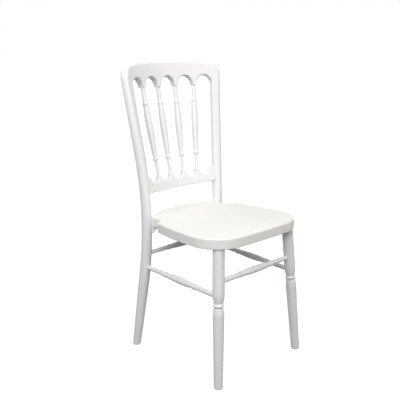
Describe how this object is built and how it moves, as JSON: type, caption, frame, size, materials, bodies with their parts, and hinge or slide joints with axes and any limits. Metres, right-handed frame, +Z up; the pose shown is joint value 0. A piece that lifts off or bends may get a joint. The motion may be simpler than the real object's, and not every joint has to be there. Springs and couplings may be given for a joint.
{
  "type": "side chair",
  "caption": "Painted wooden side chair with a raked, curved back of turned spindles under an arched crest rail, a solid seat, splayed legs and turned stretchers",
  "frame": {"origin": "on the floor, under the middle of the chair's bounding box", "axes": "+Z up, -Y towards the front of the chair, -X the left side as seen from the front"},
  "size_m": [0.405, 0.4722, 0.9154],
  "materials": {
    "frame_paint": "beech under white satin paint",
    "seat_paint": "beech under warm white satin paint",
    "bare_beech": "bare beech",
    "screw_steel": "zinc plated"
  },
  "bodies": {
    "root": {"rear_post_left": "frame_paint", "rear_post_right": "frame_paint", "crest_rail": "frame_paint", "lower_back_rail": "frame_paint", "back_spindle_outer_left": "frame_paint", "back_spindle_inner_left": "frame_paint", "back_spindle_inner_right": "frame_paint", "back_spindle_outer_right": "frame_paint", "seat_panel": "seat_paint", "front_leg_left": "frame_paint", "front_leg_right": "frame_paint", "front_stretcher": "frame_paint", "rear_stretcher": "frame_paint", "side_stretcher_left": "frame_paint", "side_stretcher_right": "frame_paint", "corner_block_left": "frame_paint", "corner_block_right": "frame_paint", "crest_dowels": "bare_beech", "seat_dowels": "bare_beech", "corner_block_screws": "screw_steel"}
  },
  "joints": []
}
